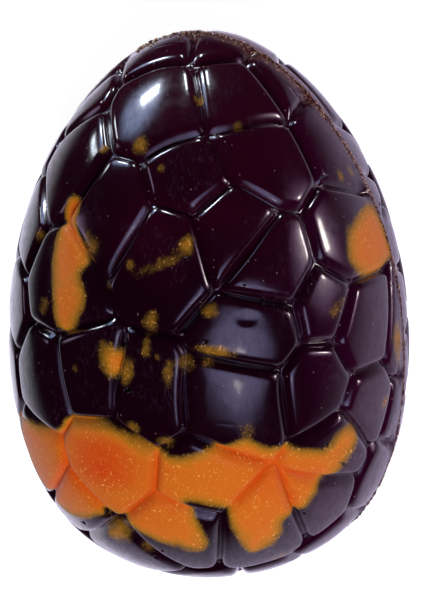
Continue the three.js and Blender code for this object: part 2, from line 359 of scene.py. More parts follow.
def net_corners():
    """The corners of the net: (direction, the three cells that meet there)."""
    points = np.vstack((MIDDLES, -SEAM_NORMAL))
    triples = np.array(list(itertools.combinations(range(len(points)), 3)))
    first, second, third = (points[triples[:, corner]] for corner in range(3))
    normals = unit(np.cross(second - first, third - first))
    reach = np.einsum("ij,ij->i", normals, first)
    normals *= np.sign(reach)[:, None]
    on_hull = (normals @ points.T).max(axis=1) < np.abs(reach) + HULL_TOLERANCE
    return [(normal, set(cells)) for normal, cells in zip(normals[on_hull], triples[on_hull])]


def cell_outline(cell, corners):
    """A cell's corners in order round its middle, each with the neighbour behind the border
    that runs from it to the next one."""
    outwards = unit(MIDDLES[cell])
    east = unit(np.cross((0, 1, 0), outwards))
    north = np.cross(outwards, east)
    own = [corner for corner in corners if cell in corner[1]]
    own.sort(key=lambda corner: math.atan2(corner[0] @ north, corner[0] @ east))
    outline = []
    for (direction, cells), (_, next_cells) in zip(own, own[1:] + own[:1]):
        outline.append((direction, next(iter((cells & next_cells) - {cell}))))
    return outline


def border_normal(cell, neighbour):
    return SEAM_NORMAL if neighbour == SEAM else unit(MIDDLES[cell] - MIDDLES[neighbour])


def cut_at_seam(cell, outline):
    """The outline kept on the upper half's side of the seam."""
    kept = []
    for (direction, neighbour), (following, _) in zip(outline, outline[1:] + outline[:1]):
        inside = direction @ SEAM_NORMAL > 0
        if inside:
            kept.append((direction, neighbour))
        if inside == (following @ SEAM_NORMAL > 0):
            continue
        crossing = unit(np.cross(border_normal(cell, neighbour), SEAM_NORMAL))
        if crossing @ (direction + following) < 0:
            crossing = -crossing
        kept.append((crossing, SEAM if inside else neighbour))
    return kept


def seam_bearing(direction):
    return math.atan2(direction[1], direction @ SEAM_RIGHT)


def seam_stops(outlines):
    """Where the grooves of either half end at the seam, as bearings round the seam."""
    on_seam = [corner for outline in outlines for corner, other in outline if other == SEAM]
    return [seam_bearing(corner * turn) for corner in on_seam for turn in (1, HALF_TURN)]


def with_seam_stops(outline, stops):
    """The outline with the other half's stops added along the seam."""
    corners = []
    clear = SAME_POINT / GIRTH
    for (direction, neighbour), (following, _) in zip(outline, outline[1:] + outline[:1]):
        corners.append(direction)
        if neighbour != SEAM:
            continue
        start = seam_bearing(direction)
        whole = math.remainder(seam_bearing(following) - start, math.tau)
        turns = [math.remainder(stop - start, math.tau) for stop in stops]
        between = [turn for turn in turns if turn * whole > 0 and clear < abs(turn) < abs(whole) - clear]
        for turn in sorted(between, key=abs):
            bearing = start + turn
            corners.append(SEAM_RIGHT * math.cos(bearing) + np.array((0, math.sin(bearing), 0)))
    return corners


def border_points(corners):
    """Points a step apart along the borders between the corners."""
    points = []
    for start, end in zip(corners, corners[1:] + corners[:1]):
        angle = math.acos(min(1, start @ end))
        steps = max(1, math.ceil(angle * float(reach_in(unit(start + end))) / BORDER_STEP))
        shares = np.arange(steps)[:, None] / steps
        points.append(unit(start + (end - start) * shares))
    return np.vstack(points)


def half_net():
    """For each cell of the upper half: its border points, its middle and its borders' normals."""
    corners = net_corners()
    outlines = [cut_at_seam(cell, cell_outline(cell, corners)) for cell in range(len(CELLS))]
    stops = seam_stops(outlines)
    cells = []
    for cell, outline in enumerate(outlines):
        borders = [other for _, other in outline if other not in (SEAM, len(CELLS))]
        normals = np.array([border_normal(cell, other) for other in borders])
        middle = unit(sum(direction for direction, _ in outline))
        cells.append((border_points(with_seam_stops(outline, stops)), middle, normals))
    return cells


# ---- The relief ----

def soft_minimum(distances):
    """The smallest of each row, with the corners between two rounded off."""
    return -CORNER_ROUNDING * np.log(np.exp(-distances / CORNER_ROUNDING).sum(axis=-1))


def groove_gaps(places):
    """Distance from each place on the upper half to the middle of the nearest groove."""
    reaches = places @ MIDDLES.T
    own = reaches.argmax(axis=1)
    spacing = np.linalg.norm(MIDDLES[:, None] - MIDDLES[None], axis=2)
    np.fill_diagonal(spacing, 1)
    distances = (reaches[np.arange(len(own)), own][:, None] - reaches) / spacing[own]
    distances[np.arange(len(own)), own] = np.inf
    return soft_minimum(distances)


def relief_of(directions, places, fade):
    """The moulded relief, with the distances to the nearest groove and to the seam. It fades out
    over the given distance towards the seam. Directions and places are on the upper half."""
    gap = groove_gaps(places)
    seam_gap = np.abs(places @ SEAM_NORMAL)
    unevenness = 1 + DEPTH_UNEVENNESS * np.sin(WANDER_WAVES * (directions[:, 0] + directions[:, 1]))
    rounded_gap = np.sqrt(np.maximum(gap, 0) ** 2 + GROOVE_BOTTOM ** 2)
    wall = np.clip(1 - rounded_gap / GROOVE_SHOULDER, 0, None)
    groove = GROOVE_DEPTH * unevenness * wall ** GROOVE_STEEPNESS
    crown_fall = CROWN * np.exp(-np.maximum(gap, 0) / CROWN_REACH)
    waves = np.sin(BEAD_LUMPS * directions[:, 1]) * np.cos(BEAD_LUMPS * directions[:, 2])
    lumps = 1 - BEAD_LUMPINESS + BEAD_LUMPINESS * waves
    bead = BEAD_HEIGHT * lumps * (1 - smoothstep(seam_gap, 0, BEAD_HALF_WIDTH))
    return bead - (groove + crown_fall) * smoothstep(seam_gap / fade, 0, 1), gap, seam_gap


def wander(directions):
    """The borders wander a little from their planes."""
    swing = WANDER / (GIRTH / 2)
    return unit(directions + swing * np.sin(WANDER_WAVES * np.roll(directions, -1, axis=-1)))


def local_offsets(places, along, around):
    """How far each place is from a point of the egg: along it, across it and outwards."""
    middle = point_on_egg(along, around)
    outwards = unit(middle)
    across = unit(np.cross((0, 1, 0), outwards))
    offsets = places - middle
    return offsets @ np.cross(outwards, across), offsets @ across, offsets @ outwards


def distance_from(places, along, around):
    return np.linalg.norm(places - point_on_egg(along, around), axis=1)


def noise_at(places, size):
    return np.array([noise.noise(Vector(place) / size) for place in places])


def fine_relief(places, seam_gap):
    """Pinholes, one dent, a rough seam and slightly uneven tops."""
    relief = TOP_UNEVENNESS * noise_at(places, TOP_WAVES_MM)
    for along, around, radius, depth in PINHOLES:
        distance = distance_from(places, along, around)
        relief -= depth * (1 - smoothstep(distance, PINHOLE_FLOOR * radius, radius))
    along, around, half_length, half_width, depth = DENT
    up, across, out = local_offsets(places, along, around)
    share = np.sqrt((up / half_length) ** 2 + (across / half_width) ** 2)
    relief -= depth * (1 - smoothstep(share, 0, 1)) * (np.abs(out) < half_width)
    rough = seam_gap < SEAM_ROUGH_BAND[1]
    lumps = sum(share * noise_at(places[rough], size) for size, share in SEAM_LUMPS)
    relief[rough] += SEAM_ROUGHNESS * lumps * (1 - smoothstep(seam_gap[rough], *SEAM_ROUGH_BAND))
    return relief


def moulded(places):
    """Where each place of the smooth net ends up on the egg, and its gaps to groove and seam."""
    upper = places @ SEAM_NORMAL >= 0
    mould = np.where(upper[:, None], places, places * HALF_TURN)
    worn = ~upper & (places[:, 0] > 0)
    relief, gap, seam_gap = relief_of(unit(mould), mould, np.where(worn, RIGHT_SEAM_FADE, SEAM_FADE))
    relief += fine_relief(places, seam_gap)
    leftness = smoothstep(-places[:, 0], 0, BEAD_LEFT_REACH)
    relief *= 1 - (1 - BEAD_LEFT_SHARE) * (seam_gap < BEAD_HALF_WIDTH) * leftness
    real = wander(unit(places))
    return real * (reach_in(real) + relief)[:, None], gap, seam_gap


# ---- The mesh ----

def places_of(points):
    return np.array([point.co for point in points])


def cell_rings(points, middle, normals):
    """The cell's border points and, further and further in, its inner rings."""
    shares = np.linspace(0, 1, LINE_SAMPLES)
    lines = unit(points[:, None] + (middle - points)[:, None] * shares[:, None])
    places = lines * reach_in(lines)[..., None]
    depths = np.minimum(soft_minimum(places @ normals.T), places @ SEAM_NORMAL * SEAM_RING_SHARE)
    deepest = depths[:, -1].min()
    limits = deepest * np.arange(1, len(RING_INSETS) + 1) / (len(RING_INSETS) + 1)
    insets = np.minimum(RING_INSETS, limits)
    rising = np.maximum.accumulate(depths, axis=1)
    found = np.array([np.interp(insets, depth, shares) for depth in rising])
    rings = [points]
    for column in found.T:
        rings.append(unit(points + (middle - points) * column[:, None]))
    return rings


def net_geometry():
    """Points and faces of the smooth net, both halves, in millimetres."""
    points, faces, borders = [], [], []
    for outline, middle, normals in half_net():
        rings = cell_rings(outline, middle, normals)
        size = len(outline)
        for turn in (np.ones(3), HALF_TURN):
            start = len(points)
            borders.extend(range(start, start + size))
            points.extend(np.vstack([*rings, middle]) * turn)
            for ring in range(len(rings) - 1):
                outer, inner = start + ring * size, start + (ring + 1) * size
                for step in range(size):
                    after = (step + 1) % size
                    faces.append((outer + step, outer + after, inner + after, inner + step))
            last = start + (len(rings) - 1) * size
            faces.extend((last + step, last + (step + 1) % size, last + size) for step in range(size))
    points = np.array(points)
    return points * reach_in(points)[:, None], faces, borders


def subdivide_near(mesh, is_near, cuts):
    """Splits the edges of the faces whose middle is near something."""
    faces = [face for face in mesh.faces if is_near(face.calc_center_median())]
    edges = list({edge for face in faces for edge in face.edges})
    bmesh.ops.subdivide_edges(mesh, edges=edges, cuts=cuts, use_grid_fill=True)


def split_at_details(mesh):
    """Splits the long edges near the edges of the splashes and in the dent, in two passes."""
    for reach, longest in DETAIL_PASSES:
        mesh.verts.index_update()
        places = places_of(mesh.verts)
        paint = paint_depth(places, np.full(len(places), np.inf))
        dented = distance_from(places, *DENT[:2]) < DENT_REACH * DENT[3]
        edges = []
        for edge in mesh.edges:
            first, second = (vertex.index for vertex in edge.verts)
            crossing = paint[first] * paint[second] < 0
            near = min(abs(paint[first]), abs(paint[second])) < reach
            in_dent = dented[first] or dented[second]
            if (crossing or near or in_dent) and edge.calc_length() > longest:
                edges.append(edge)
        bmesh.ops.subdivide_edges(mesh, edges=edges, cuts=1, use_grid_fill=True)


def refined_net():
    points, faces, borders = net_geometry()
    data = bpy.data.meshes.new("net")
    data.from_pydata(points.tolist(), [], faces)
    mesh = bmesh.new()
    mesh.from_mesh(data)
    bpy.data.meshes.remove(data)
    mesh.verts.ensure_lookup_table()
    bmesh.ops.remove_doubles(mesh, verts=[mesh.verts[index] for index in borders], dist=SAME_POINT)
    seam_normal = Vector(SEAM_NORMAL)
    subdivide_near(mesh, lambda middle: abs(middle.dot(seam_normal)) < BEAD_HALF_WIDTH, 1)
    for along, around, radius, _ in PINHOLES:
        place = Vector(point_on_egg(along, around))
        reach = radius + PINHOLE_RIM
        subdivide_near(mesh, lambda middle: (middle - place).length < reach, PINHOLE_CUTS)
    split_at_details(mesh)
    bmesh.ops.triangulate(mesh, faces=mesh.faces)
    return mesh


def set_down(points):
    """The egg laid on its side with the spot it rests on pressed flat, and where its middle went."""
    leaning = points @ LEAN.T
    low, high = leaning.min(axis=0), leaning.max(axis=0)
    offset = np.array((*(low + high)[:2] / 2, low[2] + PRESSED_FLAT))
    placed = leaning - offset
    placed[:, 2] = np.maximum(placed[:, 2], 0)
    return placed, -offset


# ---- Where the colour is ----

def meridian_length(along):
    """Length along the surface from the egg's girth to a place this far along."""
    shares = np.linspace(-1, 1, MERIDIAN_SAMPLES)
    heights = shares * LENGTH / 2
    steps = np.hypot(np.diff(heights), np.diff(profile_radius(shares)))
    lengths = np.concatenate(([0], np.cumsum(steps)))
    return np.interp(along, heights, lengths) - np.interp(0, heights, lengths)


def chart(along, around, centre):
    """A flat map of the surface round the meridian at centre degrees, in millimetres."""
    turned = np.radians((np.asarray(around, float) - centre + 180) % 360 - 180)
    along = np.asarray(along, float)
    return np.stack((profile_radius(along / (LENGTH / 2)) * turned, meridian_length(along)), axis=-1)


def rounded_outline(corners):
    """A closed outline with its corners cut off over and over, which leaves a smooth curve."""
    for _ in range(OUTLINE_ROUNDINGS):
        following = np.roll(corners, -1, axis=0)
        after = corners * (1 - CORNER_CUT) + following * CORNER_CUT
        before = corners * CORNER_CUT + following * (1 - CORNER_CUT)
        corners = np.stack((after, before), axis=1).reshape(-1, 2)
    return corners


def depth_inside(points, outline):
    """Signed distance from a closed outline, positive inside."""
    nearest = np.full(len(points), np.inf)
    inside = np.zeros(len(points), bool)
    for start, end in zip(outline, np.roll(outline, -1, axis=0)):
        edge = end - start
        to_point = points - start
        share = np.clip(to_point @ edge / (edge @ edge), 0, 1)
        nearest = np.minimum(nearest, np.linalg.norm(to_point - share[:, None] * edge, axis=1))
        crosses = (points[:, 1] < start[1]) != (points[:, 1] < end[1])
        rise = end[1] - start[1] or 1
        beyond = start[0] + (points[:, 1] - start[1]) * edge[0] / rise
        inside ^= crosses & (points[:, 0] < beyond)
    return np.where(inside, nearest, -nearest)


def patch_depth(places, corners):
    """Signed distance in from a patch's edge, held far outside. Its corners: along, around."""
    centre = corners[:, 1].mean()
    outline = rounded_outline(chart(corners[:, 0], corners[:, 1], centre))
    points = chart(places[:, 1], np.degrees(np.arctan2(places[:, 0], places[:, 2])), centre)
    low, high = outline.min(axis=0) - FURTHEST_OUTSIDE, outline.max(axis=0) + FURTHEST_OUTSIDE
    close = np.all((points > low) & (points < high), axis=1)
    depth = np.full(len(places), -FURTHEST_OUTSIDE)
    depth[close] = depth_inside(points[close], outline)
    return depth


def patches_paint(places):
    """The distance in from the edge of the band or a patch, less where that lies thin."""
    paint = patch_depth(places, np.vstack((seen_at(BAND), BAND_BEHIND)))
    for corners, thickness in SEEN_PATCHES:
        paint = np.maximum(paint, patch_depth(places, seen_at(corners)) * thickness)
    for corners in HIDDEN_PATCHES:
        paint = np.maximum(paint, patch_depth(places, np.array(corners)))
    return np.minimum(paint, DEEPEST_PAINT)


def spot_paint(places, along, around, half_length, half_width, lean, thickness):
    """The same for one small splash: flat on top, and about the distance outside it."""
    up, across, out = local_offsets(places, along, around)
    turn = math.radians(lean)
    cosine, sine = math.cos(turn), math.sin(turn)
    longways, sideways = up * cosine - across * sine, up * sine + across * cosine
    squares = (longways / half_length) ** 2 + (sideways / half_width) ** 2
    share = np.sqrt(squares + (out / SPOT_THROUGH) ** 2)
    inward = 1 - share / SPOT_GROWTH
    inside = (thickness + SPOT_EXTRA) * np.minimum(inward / SPOT_EDGE, 1)
    outside = inward * SPOT_GROWTH * min(half_length, half_width)
    return np.where(inward > 0, inside, outside)


def paint_depth(places, gap):
    """How thick the orange lies: the distance in from a splash's edge in millimetres, and more in pools.
    It is made thicker in the grooves too, which paints shade there as a deeper, darker red."""
    paint = patches_paint(places)
    for spot in placed_at(SEEN_SPOTS, HIDDEN_SPOTS):
        paint = np.maximum(paint, spot_paint(places, *spot))
    inside = smoothstep(paint, *THICK_PAINT)
    for along, around, half_length, half_width, extra in placed_at(POOLS, []):
        up, across, out = local_offsets(places, along, around)
        squares = (up / half_length) ** 2 + (across / half_width) ** 2 + (out / half_width) ** 2
        paint = paint + inside * extra * (1 - smoothstep(np.sqrt(squares), POOL_FLAT, 1))
    # Painted shade: a deeper, darker red towards the grooves.
    return paint + inside * RED_GROOVE_SHADE * np.exp(-np.maximum(gap, 0) / RED_GROOVE_SHADE_REACH)


def pinhole_shade_nearness(places):
    """Where shade is painted into the pinholes: 1 in a pinhole, falling to 0 a little outside it."""
    nearness = np.zeros(len(places))
    for along, around, radius, _ in PINHOLES:
        share = distance_from(places, along, around) / radius
        nearness = np.maximum(nearness, 1 - smoothstep(share, *PINHOLE_SHADE))
    return nearness


# ---- Materials ----

class Shading:
    """A node material, built up by short calls."""

    def __init__(self, name):
        self.material = bpy.data.materials.new(name)
        self.material.use_nodes = True
        self.tree = self.material.node_tree
        self.surface = self.tree.nodes["Principled BSDF"]
        self.place = self.node("ShaderNodeTexCoord").outputs["Object"]

    def node(self, kind, **settings):
        made = self.tree.nodes.new(kind)
        for name, value in settings.items():
            setattr(made, name, value)
        return made

    def put(self, socket, value):
        if isinstance(value, bpy.types.NodeSocket):
            self.tree.links.new(value, socket)
        else:
            socket.default_value = value

    def attribute(self, name):
        return self.node("ShaderNodeAttribute", attribute_name=name).outputs["Fac"]

    def noise(self, scale, detail=3, roughness=0.5):
        """Noise with this many waves to a metre, or with a number for each axis."""
        made = self.node("ShaderNodeTexNoise")
        stretch = self.node("ShaderNodeVectorMath", operation="MULTIPLY")
        self.put(stretch.inputs[0], self.place)
        self.put(stretch.inputs[1], scale if isinstance(scale, tuple) else (scale, scale, scale))
        self.put(made.inputs["Vector"], stretch.outputs[0])
        self.put(made.inputs["Scale"], 1.0)
        self.put(made.inputs["Detail"], detail)
        self.put(made.inputs["Roughness"], roughness)
        return made.outputs["Fac"]

    def cells(self, scale):
        """Distance from the nearest of scattered points, and a random number for each point."""
        made = self.node("ShaderNodeTexVoronoi")
        self.put(made.inputs["Vector"], self.place)
        self.put(made.inputs["Scale"], scale)
        parts = self.node("ShaderNodeSeparateColor")
        self.put(parts.inputs[0], made.outputs["Color"])
        return made.outputs["Distance"], parts.outputs["Red"]

    def axis(self, name):
        made = self.node("ShaderNodeSeparateXYZ")
        self.put(made.inputs[0], self.place)
        return made.outputs[name]

    def math(self, operation, *values):
        made = self.node("ShaderNodeMath", operation=operation)
        for socket, value in zip(made.inputs, values):
            self.put(socket, value)
        return made.outputs[0]

    def fit(self, value, low, high, low_out=0.0, high_out=1.0):
        """value moved from low..high to low_out..high_out, smoothly and held at the ends."""
        made = self.node("ShaderNodeMapRange", interpolation_type="SMOOTHSTEP")
        self.put(made.inputs["Value"], value)
        names = ("From Min", "From Max", "To Min", "To Max")
        for name, number in zip(names, (low, high, low_out, high_out)):
            self.put(made.inputs[name], number)
        return made.outputs["Result"]

    def ramp(self, value, stops):
        made = self.node("ShaderNodeValToRGB")
        elements = made.color_ramp.elements
        while len(elements) < len(stops):
            elements.new(1.0)
        for element, (position, colour) in zip(elements, stops):
            element.position = position
            element.color = (*colour, 1)
        self.put(made.inputs["Fac"], value)
        return made.outputs["Color"]

    def mix(self, factor, first, second):
        made = self.node("ShaderNodeMix", data_type="RGBA")
        self.put(made.inputs["Factor"], factor)
        for socket, colour in ((made.inputs[6], first), (made.inputs[7], second)):
            self.put(socket, (*colour, 1) if isinstance(colour, tuple) else colour)
        return made.outputs[2]

    def bump(self, height, distance, before=None):
        made = self.node("ShaderNodeBump")
        self.put(made.inputs["Height"], height)
        self.put(made.inputs["Distance"], distance)
        if before is not None:
            self.put(made.inputs["Normal"], before)
        return made.outputs["Normal"]

    def finish(self, **values):
        for name, value in values.items():
            self.put(self.surface.inputs[name.replace("_", " ")], value)
        return self.material


# Colours.
DARK = (0.0080, 0.0003, 0.0038)
# Painted light: the chocolate as lit by the key light, lighter and redder, painted towards the narrow
# end.
DARK_WARM_KEY_LIT = (0.023, 0.0007, 0.0075)
# Painted light: the chocolate as lit by the side light, a lighter plum, painted on the right.
PLUM_SIDE_LIT = (0.024, 0.0008, 0.0125)
BLOOM = (0.070, 0.045, 0.075)
DUST = (0.120, 0.085, 0.100)
# Painted shade: the colour that darkens the pinholes.
PINHOLE_PAINTED_SHADE = (0.004, 0.001, 0.002)
PAINT_RANGE = 10.0
PAINT_STOPS = (
    (0.00, (0.035, 0.018, 0.006)),
    (0.05, (0.120, 0.058, 0.009)),
    (0.12, (0.240, 0.104, 0.009)),
    (0.22, (0.430, 0.150, 0.010)),
    (0.38, (0.600, 0.145, 0.011)),
    (0.60, (0.610, 0.105, 0.009)),
    (0.80, (0.610, 0.075, 0.005)),
    (1.00, (0.600, 0.048, 0.002)),
)
PAINT_SHEEN = (1.0, 0.55, 0.12)
SPECK_PALE = (0.860, 0.420, 0.090)
SEAM_BROWN = (0.064, 0.008, 0.008)
CRUMB_TAN = (0.560, 0.330, 0.200)
WHITE = (1.0, 1.0, 1.0)
FLOOR_DARK = (0.50, 0.50, 0.51)
FLOOR_LIGHT = (0.53, 0.53, 0.53)

# Noises: waves to a metre, detail where it isn't 3, and roughness where it isn't 0.5.
PATCH_NOISE = (45, 2)
SMEAR_NOISE = ((1300, 500, 800), 5, 0.8)
DUSTY_NOISE = (70,)
FLECK_NOISE = ((1900, 1100, 1900), 2, 0.6)
CROWD_NOISE = (150, 2)
SEAM_EDGE_NOISE = (500, 3)
SEAM_GRAIN_NOISE = (1300, 4, 0.7)
DULL_NOISE = ((420, 90, 420), 4, 0.6)
GREASE_NOISE = ((800, 300, 500), 4, 0.7)
WAVE_NOISE = (240, 2)
SCRATCH_NOISE = (1500, 2)
CRUMB_TONE_NOISE = (900, 2)
CRUMB_BUMP_NOISE = (2500, 3)
FLOOR_NOISE = (3,)
# Those that make the orange's edges ragged, with how much each adds, and their sum's middle.
EDGE_NOISES = [((420, 2), 0.7), ((170, 2), 1.4), ((1300, 3, 0.6), 0.7)]
EDGE_NOISE_MIDDLE = 1.3

# Ranges: from low to high, and what those become where it isn't 0 and 1.
# Where the painted key light (along Y) and the painted side light (along X) fade in, in metres.
KEY_LIT_PLACES = (0.055, 0.11)
SIDE_LIT_PLACES = (0.036, 0.070)
SMEARED = (0.50, 0.72)
DUSTY = (0.50, 0.66)
FLECKED = (0.60, 0.68)
CROWDED = (0.35, 0.6, 0.2, 0.7)
COVERED = (-0.35, 0.9)
SEAM_SHOWS = (-0.02, 0.005, 0.15, 1.0)
SEAM_LINE = (0.9, 1.5, 1.0, 0.0)
WORN_PLACES = (0.028, 0.066)
SCUFFED = (0.7, 1.5, 0.75, 0.0)
SEAM_GRAINY = (0.54, 0.68)
CHOCOLATE_DULLNESS = (0.3, 1.3, 0.15, 0.46)
PAINT_DULLNESS = (0.3, 1.6, 0.0, 0.55)
GREASY = (0.42, 0.62, 1.0, 0.62)
BARE = (0.0, 1.6, 1.0, 0.12)
TINTED = (0.0, 1.6)
CRUMB_TONES = (0.25, 0.95)

# Distances in metres, or from the seam in millimetres, and strengths.
# How far noise moves the edges of the painted key light and side light.
KEY_LIT_WANDER = 0.08
SIDE_LIT_WANDER = 0.05
SEAM_EDGE_WANDER = 1.4
WORN_WIDTH = 2.6
BLOOM_STRENGTH = 0.4
DUST_CELLS = 560
DUST_SIZE = 0.12
DUST_RARITY = 0.86
SEAM_DULLNESS = 0.6
WAVE_HEIGHT = 0.000012
SCRATCH_HEIGHT = 0.0000015
CHOCOLATE_IOR = 1.5
GLAZE_ROUGHNESS = 0.09
CRUMB_TONE_SPREAD = 0.4
CRUMB_BUMP_HEIGHT = 0.00008
CRUMB_DULLNESS = 0.55
FLOOR_DULLNESS = 0.8
FLOOR_GLOW = 0.92


def chocolate_colour(shading):
    """Dark chocolate with pale dust, and painted light: lighter and redder towards the narrow end, where
    the key light falls, and a lighter plum on the right, where the side light falls.
    """
    patches = shading.noise(*PATCH_NOISE)
    # Painted light: lighter and redder where the key light falls, then a lighter plum where the side
    # light falls.
    key_lit = shading.math("MULTIPLY_ADD", patches, KEY_LIT_WANDER, shading.axis("Y"))
    dark = shading.mix(shading.fit(key_lit, *KEY_LIT_PLACES), DARK, DARK_WARM_KEY_LIT)
    side_lit = shading.math("MULTIPLY_ADD", patches, SIDE_LIT_WANDER, shading.axis("X"))
    dark = shading.mix(shading.fit(side_lit, *SIDE_LIT_PLACES), dark, PLUM_SIDE_LIT)
    smears = shading.fit(shading.noise(*SMEAR_NOISE), *SMEARED)
    dusty = shading.math("MULTIPLY", smears, shading.fit(shading.noise(*DUSTY_NOISE), *DUSTY))
    dark = shading.mix(shading.math("MULTIPLY", dusty, BLOOM_STRENGTH), dark, BLOOM)
    distance, luck = shading.cells(DUST_CELLS)
    speck = shading.math("LESS_THAN", distance, DUST_SIZE)
    rare = shading.math("GREATER_THAN", luck, DUST_RARITY)
    return shading.mix(shading.math("MULTIPLY", speck, rare), dark, DUST)


def ragged_paint(shading):
    """How thick the orange lies, with ragged edges."""
    paint = shading.math("SUBTRACT", shading.attribute("paint"), EDGE_NOISE_MIDDLE)
    for settings, reach in EDGE_NOISES:
        paint = shading.math("MULTIPLY_ADD", shading.noise(*settings), reach, paint)
    return paint


def paint_colour(shading, paint):
    """Orange cocoa butter, ochre where it lies thin, with light specks."""
    shade = shading.ramp(shading.math("DIVIDE", paint, PAINT_RANGE), PAINT_STOPS)
    flecks = shading.fit(shading.noise(*FLECK_NOISE), *FLECKED)
    crowd = shading.fit(shading.noise(*CROWD_NOISE), *CROWDED)
    return shading.mix(shading.math("MULTIPLY", flecks, crowd), shade, SPECK_PALE)


def seam_cover(shading):
    """Where the seam shows as a rough brown line, wider where it is worn at the narrow end."""
    noise_near = shading.noise(*SEAM_EDGE_NOISE)
    distance = shading.math("MULTIPLY_ADD", noise_near, SEAM_EDGE_WANDER, shading.attribute("seam"))
    line = shading.fit(distance, *SEAM_LINE)
    worn = shading.math("MULTIPLY", shading.fit(shading.axis("Y"), *WORN_PLACES), WORN_WIDTH)
    scuffed = shading.fit(shading.math("SUBTRACT", distance, worn), *SCUFFED)
    shown = shading.fit(shading.axis("X"), *SEAM_SHOWS)
    return shading.math("MULTIPLY", shading.math("MAXIMUM", line, scuffed), shown)


def egg_colour(shading, paint, seam):
    bare_colour = chocolate_colour(shading)
    colour = shading.mix(shading.fit(paint, *COVERED), bare_colour, paint_colour(shading, paint))
    grain = shading.fit(shading.noise(*SEAM_GRAIN_NOISE), *SEAM_GRAINY)
    colour = shading.mix(seam, colour, shading.mix(grain, SEAM_BROWN, CRUMB_TAN))
    # Painted shade: the pinholes darkened.
    return shading.mix(shading.attribute("pinhole"), colour, PINHOLE_PAINTED_SHADE)


def egg_roughness(shading, paint, seam):
    rough_seam = shading.math("MULTIPLY", seam, SEAM_DULLNESS)
    dull = shading.math("ADD", rough_seam, shading.noise(*DULL_NOISE))
    chocolate = shading.fit(dull, *CHOCOLATE_DULLNESS)
    return shading.math("MAXIMUM", chocolate, shading.fit(paint, *PAINT_DULLNESS))


def egg_material():
    shading = Shading("glossy_chocolate")
    paint = ragged_paint(shading)
    seam = seam_cover(shading)
    waves = shading.bump(shading.noise(*WAVE_NOISE), WAVE_HEIGHT)
    greasy = shading.fit(shading.noise(*GREASE_NOISE), *GREASY)
    return shading.finish(
        Base_Color=egg_colour(shading, paint, seam),
        Roughness=egg_roughness(shading, paint, seam),
        IOR=CHOCOLATE_IOR,
        Coat_Weight=shading.math("MULTIPLY", greasy, shading.fit(paint, *BARE)),
        Coat_Roughness=GLAZE_ROUGHNESS,
        Specular_Tint=shading.mix(shading.fit(paint, *TINTED), WHITE, PAINT_SHEEN),
        Normal=shading.bump(shading.noise(*SCRATCH_NOISE), SCRATCH_HEIGHT, waves),
    )


def crumb_material():
    shading = Shading("chocolate_crumbs")
    tone_noise = shading.noise(*CRUMB_TONE_NOISE)
    tone = shading.math("MULTIPLY_ADD", tone_noise, CRUMB_TONE_SPREAD, shading.attribute("luck"))
    return shading.finish(
        Base_Color=shading.mix(shading.fit(tone, *CRUMB_TONES), SEAM_BROWN, CRUMB_TAN),
        Roughness=CRUMB_DULLNESS,
        Normal=shading.bump(shading.noise(*CRUMB_BUMP_NOISE), CRUMB_BUMP_HEIGHT),
    )


def floor_material():
    shading = Shading("pale_floor")
    return shading.finish(
        Base_Color=shading.mix(shading.noise(*FLOOR_NOISE), FLOOR_DARK, FLOOR_LIGHT),
        Roughness=FLOOR_DULLNESS,
        Emission_Color=(*WHITE, 1),
        Emission_Strength=FLOOR_GLOW,
    )


# ---- The pieces ----

def new_object(name, data, material):
    made = bpy.data.objects.new(name, data)
    bpy.context.scene.collection.objects.link(made)
    data.materials.append(material)
    return made


def add_chocolate(name, mesh, points, attributes, material):
    """Makes a smooth piece of the egg from a mesh, with its points moved to the given places."""
    data = bpy.data.meshes.new(name)
    mesh.to_mesh(data)
    mesh.free()
    data.vertices.foreach_set("co", (points * MM).ravel())
    for key, values in attributes.items():
        data.attributes.new(key, "FLOAT", "POINT").data.foreach_set("value", values)
    data.shade_smooth()
    piece = new_object(name, data, material)
    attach(piece, "root")
    return piece


def make_egg():
    """Makes the egg in one piece. Tells where the middle of the smooth egg lies."""
    mesh = refined_net()
    places = places_of(mesh.verts)
    points, gap, seam_gap = moulded(places)
    placed, middle = set_down(points)
    # The pinhole attribute says where shade is painted into the pinholes.
    told = {"paint": paint_depth(places, gap), "seam": seam_gap, "pinhole": pinhole_shade_nearness(places)}
    egg = add_chocolate("egg_shell", mesh, placed, told, egg_material())
    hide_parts("chocolate_egg")
    return middle


def seam_place(bearing, aside, height):
    """A place near the seam: a bearing round it, a distance aside from it and above the egg."""
    direction = SEAM_RIGHT * math.cos(bearing) + np.array((0, math.sin(bearing), 0))
    place = direction * float(reach_in(direction)) + SEAM_NORMAL * aside
    direction = unit(place)
    return direction * (float(reach_in(direction)) + height)


def add_crumb(mesh):
    """Adds a crumb, and tells how pale it is and how many points it has."""
    share = random.random() ** CRUMB_CROWDING
    bearing = CRUMBS_TO + (CRUMBS_FROM - CRUMBS_TO) * share
    spread = CRUMB_SPREAD * (1 - share) + CRUMB_SPREAD_LOW * share
    radius = random.uniform(*CRUMB_RADII) * (1 - CRUMB_SHRINK * share)
    aside = abs(random.gauss(0, spread)) - CRUMB_OVERLAP
    height = BEAD_HEIGHT * CRUMB_ON_BEAD * math.exp(-aside * aside) + radius * CRUMB_LIFT
    place = Vector(seam_place(bearing, aside, height))
    made = bmesh.ops.create_icosphere(mesh, subdivisions=2, radius=radius)["verts"]
    stretch = Vector(random.uniform(*CRUMB_STRETCH) for _ in range(3))
    bump = Vector(random.uniform(-CRUMB_NOISE_SPAN, CRUMB_NOISE_SPAN) for _ in range(3))
    for vertex in made:
        rough = 1 + CRUMB_ROUGHNESS * noise.noise(vertex.co / radius + bump)
        vertex.co = place + vertex.co * rough * stretch
    return random.random() * (CRUMB_PALENESS - CRUMB_PALENESS_FALL * share), len(made)


